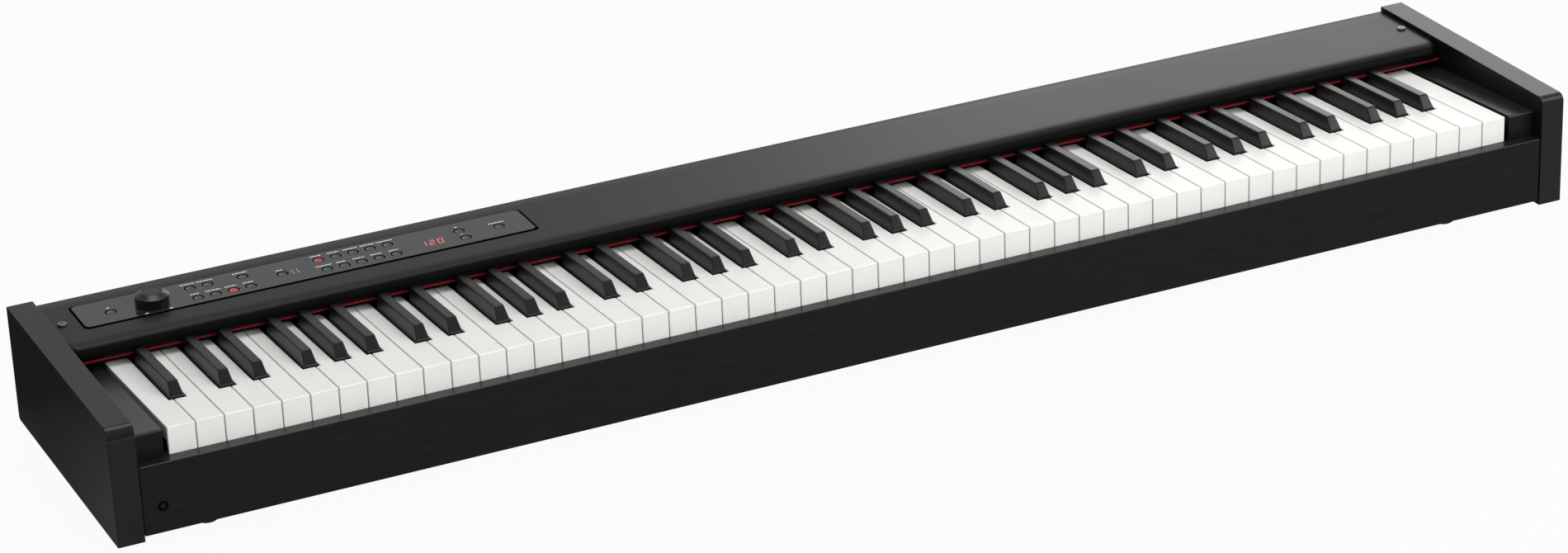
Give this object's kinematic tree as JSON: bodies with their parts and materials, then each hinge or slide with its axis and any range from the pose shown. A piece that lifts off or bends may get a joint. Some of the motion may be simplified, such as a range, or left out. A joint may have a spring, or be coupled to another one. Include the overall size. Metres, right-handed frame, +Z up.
{
  "type": "stage piano",
  "caption": "Slim stage piano with a full hammer-action keyboard, a low control panel beside a volume knob, and thick end panels.",
  "frame": {"origin": "centre of the footprint, on the surface under the feet", "axes": "+X along the keyboard from bass to treble, +Y away from the player, +Z up"},
  "size_m": [1.327, 0.263, 0.128],
  "materials": {
    "foil_board": "satin black foil on wood board",
    "cover_black": "satin black",
    "panel_grey": "semi-gloss dark grey",
    "white_key": "polished warm white",
    "black_key": "fine grained satin black",
    "red_felt": "dark red felt",
    "bare_steel": "bright steel",
    "zinc_sheet": "zinc plated sheet",
    "circuit_board": "green solder mask",
    "knob_black": "black, lightly polished",
    "foot_rubber": "matt black rubber",
    "button_grey": "dark grey, satin",
    "hammer_steel": "grey painted steel"
  },
  "bodies": {
    "case": {"left_end_panel": "foil_board", "right_end_panel": "foil_board", "bottom_board": "foil_board", "front_rail": "foil_board", "left_cheek_block": "foil_board", "right_cheek_block": "foil_board", "rear_panel": "foil_board", "top_cover": "cover_black", "control_panel": "panel_grey", "front_left_foot": "foot_rubber", "front_right_foot": "foot_rubber", "rear_left_foot": "foot_rubber", "rear_right_foot": "foot_rubber", "headphone_socket": "cover_black", "key_felt_strip": "red_felt", "key_chassis": "zinc_sheet", "key_pivot_rod": "bare_steel", "key_contact_board": "circuit_board", "main_circuit_board": "circuit_board", "panel_circuit_board": "circuit_board", "left_cover_screw": "bare_steel", "right_cover_screw": "bare_steel"},
    "volume_knob": {"volume_knob": "knob_black"},
    "key_C4": {"key_C4": "white_key"},
    "key_D4": {"key_D4": "white_key"},
    "key_E4": {"key_E4": "white_key"},
    "key_F4": {"key_F4": "white_key"},
    "key_G4": {"key_G4": "white_key"},
    "key_A4": {"key_A4": "white_key"},
    "key_B4": {"key_B4": "white_key"},
    "key_C_sharp4": {"key_C_sharp4": "black_key"},
    "key_D_sharp4": {"key_D_sharp4": "black_key"},
    "key_F_sharp4": {"key_F_sharp4": "black_key"},
    "key_G_sharp4": {"key_G_sharp4": "black_key"},
    "key_A_sharp4": {"key_A_sharp4": "black_key"},
    "hammer_C4": {"hammer_C4": "hammer_steel"},
    "hammer_D4": {"hammer_D4": "hammer_steel"},
    "hammer_E4": {"hammer_E4": "hammer_steel"},
    "hammer_F4": {"hammer_F4": "hammer_steel"},
    "hammer_G4": {"hammer_G4": "hammer_steel"},
    "hammer_A4": {"hammer_A4": "hammer_steel"},
    "hammer_B4": {"hammer_B4": "hammer_steel"},
    "hammer_C_sharp4": {"hammer_C_sharp4": "hammer_steel"},
    "hammer_D_sharp4": {"hammer_D_sharp4": "hammer_steel"},
    "hammer_F_sharp4": {"hammer_F_sharp4": "hammer_steel"},
    "hammer_G_sharp4": {"hammer_G_sharp4": "hammer_steel"},
    "hammer_A_sharp4": {"hammer_A_sharp4": "hammer_steel"},
    "white_keys_A0_to_B1": {"white_keys_A0_to_B1": "white_key"},
    "black_keys_A0_to_B1": {"black_keys_A0_to_B1": "black_key"},
    "white_keys_C2_to_B3": {"white_keys_C2_to_B3": "white_key"},
    "black_keys_C2_to_B3": {"black_keys_C2_to_B3": "black_key"},
    "white_keys_C5_to_B6": {"white_keys_C5_to_B6": "white_key"},
    "black_keys_C5_to_B6": {"black_keys_C5_to_B6": "black_key"},
    "white_keys_C7_to_C8": {"white_keys_C7_to_C8": "white_key"},
    "black_keys_C7_to_C8": {"black_keys_C7_to_C8": "black_key"},
    "power_button": {"power_button": "button_grey"},
    "function_buttons": {"function_buttons": "button_grey"},
    "bank_button": {"bank_button": "button_grey"},
    "voice_buttons": {"voice_buttons": "button_grey"},
    "tempo_buttons": {"tempo_buttons": "button_grey"}
  },
  "joints": [
    {"name": "key_C4_press", "type": "hinge", "parent": "case", "child": "key_C4", "pos_m": [0, 0.0945, 0.0818], "axis": [1, 0, 0], "range_deg": [0, 2.7], "stiffness_Nm_per_rad": 0.3, "springref_deg": -5.73},
    {"name": "key_D4_press", "type": "hinge", "parent": "case", "child": "key_D4", "pos_m": [0, 0.0945, 0.0818], "axis": [1, 0, 0], "range_deg": [0, 2.7], "stiffness_Nm_per_rad": 0.3, "springref_deg": -5.73},
    {"name": "key_E4_press", "type": "hinge", "parent": "case", "child": "key_E4", "pos_m": [0, 0.0945, 0.0818], "axis": [1, 0, 0], "range_deg": [0, 2.7], "stiffness_Nm_per_rad": 0.3, "springref_deg": -5.73},
    {"name": "key_F4_press", "type": "hinge", "parent": "case", "child": "key_F4", "pos_m": [0, 0.0945, 0.0818], "axis": [1, 0, 0], "range_deg": [0, 2.7], "stiffness_Nm_per_rad": 0.3, "springref_deg": -5.73},
    {"name": "key_G4_press", "type": "hinge", "parent": "case", "child": "key_G4", "pos_m": [0, 0.0945, 0.0818], "axis": [1, 0, 0], "range_deg": [0, 2.7], "stiffness_Nm_per_rad": 0.3, "springref_deg": -5.73},
    {"name": "key_A4_press", "type": "hinge", "parent": "case", "child": "key_A4", "pos_m": [0, 0.0945, 0.0818], "axis": [1, 0, 0], "range_deg": [0, 2.7], "stiffness_Nm_per_rad": 0.3, "springref_deg": -5.73},
    {"name": "key_B4_press", "type": "hinge", "parent": "case", "child": "key_B4", "pos_m": [0, 0.0945, 0.0818], "axis": [1, 0, 0], "range_deg": [0, 2.7], "stiffness_Nm_per_rad": 0.3, "springref_deg": -5.73},
    {"name": "key_C_sharp4_press", "type": "hinge", "parent": "case", "child": "key_C_sharp4", "pos_m": [0, 0.0945, 0.0818], "axis": [1, 0, 0], "range_deg": [0, 2.7], "stiffness_Nm_per_rad": 0.3, "springref_deg": -5.73},
    {"name": "key_D_sharp4_press", "type": "hinge", "parent": "case", "child": "key_D_sharp4", "pos_m": [0, 0.0945, 0.0818], "axis": [1, 0, 0], "range_deg": [0, 2.7], "stiffness_Nm_per_rad": 0.3, "springref_deg": -5.73},
    {"name": "key_F_sharp4_press", "type": "hinge", "parent": "case", "child": "key_F_sharp4", "pos_m": [0, 0.0945, 0.0818], "axis": [1, 0, 0], "range_deg": [0, 2.7], "stiffness_Nm_per_rad": 0.3, "springref_deg": -5.73},
    {"name": "key_G_sharp4_press", "type": "hinge", "parent": "case", "child": "key_G_sharp4", "pos_m": [0, 0.0945, 0.0818], "axis": [1, 0, 0], "range_deg": [0, 2.7], "stiffness_Nm_per_rad": 0.3, "springref_deg": -5.73},
    {"name": "key_A_sharp4_press", "type": "hinge", "parent": "case", "child": "key_A_sharp4", "pos_m": [0, 0.0945, 0.0818], "axis": [1, 0, 0], "range_deg": [0, 2.7], "stiffness_Nm_per_rad": 0.3, "springref_deg": -5.73},
    {"name": "hammer_C4_swing", "type": "hinge", "parent": "case", "child": "hammer_C4", "pos_m": [0, -0.02145, 0.0558], "axis": [1, 0, 0], "range_deg": [0, 10.6]},
    {"name": "hammer_D4_swing", "type": "hinge", "parent": "case", "child": "hammer_D4", "pos_m": [0, -0.02145, 0.0558], "axis": [1, 0, 0], "range_deg": [0, 10.6]},
    {"name": "hammer_E4_swing", "type": "hinge", "parent": "case", "child": "hammer_E4", "pos_m": [0, -0.02145, 0.0558], "axis": [1, 0, 0], "range_deg": [0, 10.6]},
    {"name": "hammer_F4_swing", "type": "hinge", "parent": "case", "child": "hammer_F4", "pos_m": [0, -0.02145, 0.0558], "axis": [1, 0, 0], "range_deg": [0, 10.6]},
    {"name": "hammer_G4_swing", "type": "hinge", "parent": "case", "child": "hammer_G4", "pos_m": [0, -0.02145, 0.0558], "axis": [1, 0, 0], "range_deg": [0, 10.6]},
    {"name": "hammer_A4_swing", "type": "hinge", "parent": "case", "child": "hammer_A4", "pos_m": [0, -0.02145, 0.0558], "axis": [1, 0, 0], "range_deg": [0, 10.6]},
    {"name": "hammer_B4_swing", "type": "hinge", "parent": "case", "child": "hammer_B4", "pos_m": [0, -0.02145, 0.0558], "axis": [1, 0, 0], "range_deg": [0, 10.6]},
    {"name": "hammer_C_sharp4_swing", "type": "hinge", "parent": "case", "child": "hammer_C_sharp4", "pos_m": [0, -0.02145, 0.0558], "axis": [1, 0, 0], "range_deg": [0, 10.6]},
    {"name": "hammer_D_sharp4_swing", "type": "hinge", "parent": "case", "child": "hammer_D_sharp4", "pos_m": [0, -0.02145, 0.0558], "axis": [1, 0, 0], "range_deg": [0, 10.6]},
    {"name": "hammer_F_sharp4_swing", "type": "hinge", "parent": "case", "child": "hammer_F_sharp4", "pos_m": [0, -0.02145, 0.0558], "axis": [1, 0, 0], "range_deg": [0, 10.6]},
    {"name": "hammer_G_sharp4_swing", "type": "hinge", "parent": "case", "child": "hammer_G_sharp4", "pos_m": [0, -0.02145, 0.0558], "axis": [1, 0, 0], "range_deg": [0, 10.6]},
    {"name": "hammer_A_sharp4_swing", "type": "hinge", "parent": "case", "child": "hammer_A_sharp4", "pos_m": [0, -0.02145, 0.0558], "axis": [1, 0, 0], "range_deg": [0, 10.6]},
    {"name": "white_keys_A0_to_B1_press", "type": "hinge", "parent": "case", "child": "white_keys_A0_to_B1", "pos_m": [0, 0.0945, 0.0818], "axis": [1, 0, 0], "range_deg": [0, 2.7], "stiffness_Nm_per_rad": 5.4, "springref_deg": -11.46},
    {"name": "black_keys_A0_to_B1_press", "type": "hinge", "parent": "case", "child": "black_keys_A0_to_B1", "pos_m": [0, 0.0945, 0.0818], "axis": [1, 0, 0], "range_deg": [0, 2.7], "stiffness_Nm_per_rad": 3.6, "springref_deg": -11.46},
    {"name": "white_keys_C2_to_B3_press", "type": "hinge", "parent": "case", "child": "white_keys_C2_to_B3", "pos_m": [0, 0.0945, 0.0818], "axis": [1, 0, 0], "range_deg": [0, 2.7], "stiffness_Nm_per_rad": 8.4, "springref_deg": -11.46},
    {"name": "black_keys_C2_to_B3_press", "type": "hinge", "parent": "case", "child": "black_keys_C2_to_B3", "pos_m": [0, 0.0945, 0.0818], "axis": [1, 0, 0], "range_deg": [0, 2.7], "stiffness_Nm_per_rad": 6, "springref_deg": -11.46},
    {"name": "white_keys_C5_to_B6_press", "type": "hinge", "parent": "case", "child": "white_keys_C5_to_B6", "pos_m": [0, 0.0945, 0.0818], "axis": [1, 0, 0], "range_deg": [0, 2.7], "stiffness_Nm_per_rad": 8.4, "springref_deg": -11.46},
    {"name": "black_keys_C5_to_B6_press", "type": "hinge", "parent": "case", "child": "black_keys_C5_to_B6", "pos_m": [0, 0.0945, 0.0818], "axis": [1, 0, 0], "range_deg": [0, 2.7], "stiffness_Nm_per_rad": 6, "springref_deg": -11.46},
    {"name": "white_keys_C7_to_C8_press", "type": "hinge", "parent": "case", "child": "white_keys_C7_to_C8", "pos_m": [0, 0.0945, 0.0818], "axis": [1, 0, 0], "range_deg": [0, 2.7], "stiffness_Nm_per_rad": 4.8, "springref_deg": -11.46},
    {"name": "black_keys_C7_to_C8_press", "type": "hinge", "parent": "case", "child": "black_keys_C7_to_C8", "pos_m": [0, 0.0945, 0.0818], "axis": [1, 0, 0], "range_deg": [0, 2.7], "stiffness_Nm_per_rad": 3, "springref_deg": -11.46},
    {"name": "volume_knob_turn", "type": "hinge", "parent": "case", "child": "volume_knob", "pos_m": [-0.5552, 0.0821, 0.117], "axis": [0, 0, 1], "range_deg": [-140, 140]},
    {"name": "power_button_press", "type": "slide", "parent": "case", "child": "power_button", "axis": [0, 0, -1], "range_m": [0, 0.0008], "stiffness_N_per_m": 600, "springref_m": -0.0008},
    {"name": "function_buttons_press", "type": "slide", "parent": "case", "child": "function_buttons", "axis": [0, 0, -1], "range_m": [0, 0.0008], "stiffness_N_per_m": 600, "springref_m": -0.0008},
    {"name": "bank_button_press", "type": "slide", "parent": "case", "child": "bank_button", "axis": [0, 0, -1], "range_m": [0, 0.0008], "stiffness_N_per_m": 600, "springref_m": -0.0008},
    {"name": "voice_buttons_press", "type": "slide", "parent": "case", "child": "voice_buttons", "axis": [0, 0, -1], "range_m": [0, 0.0008], "stiffness_N_per_m": 600, "springref_m": -0.0008},
    {"name": "tempo_buttons_press", "type": "slide", "parent": "case", "child": "tempo_buttons", "axis": [0, 0, -1], "range_m": [0, 0.0008], "stiffness_N_per_m": 600, "springref_m": -0.0008}
  ],
  "couplings": [
    {"joint": "hammer_C4_swing", "follows": "key_C4_press", "ratio": 3.9},
    {"joint": "hammer_D4_swing", "follows": "key_D4_press", "ratio": 3.9},
    {"joint": "hammer_E4_swing", "follows": "key_E4_press", "ratio": 3.9},
    {"joint": "hammer_F4_swing", "follows": "key_F4_press", "ratio": 3.9},
    {"joint": "hammer_G4_swing", "follows": "key_G4_press", "ratio": 3.9},
    {"joint": "hammer_A4_swing", "follows": "key_A4_press", "ratio": 3.9},
    {"joint": "hammer_B4_swing", "follows": "key_B4_press", "ratio": 3.9},
    {"joint": "hammer_C_sharp4_swing", "follows": "key_C_sharp4_press", "ratio": 3.9},
    {"joint": "hammer_D_sharp4_swing", "follows": "key_D_sharp4_press", "ratio": 3.9},
    {"joint": "hammer_F_sharp4_swing", "follows": "key_F_sharp4_press", "ratio": 3.9},
    {"joint": "hammer_G_sharp4_swing", "follows": "key_G_sharp4_press", "ratio": 3.9},
    {"joint": "hammer_A_sharp4_swing", "follows": "key_A_sharp4_press", "ratio": 3.9}
  ]
}
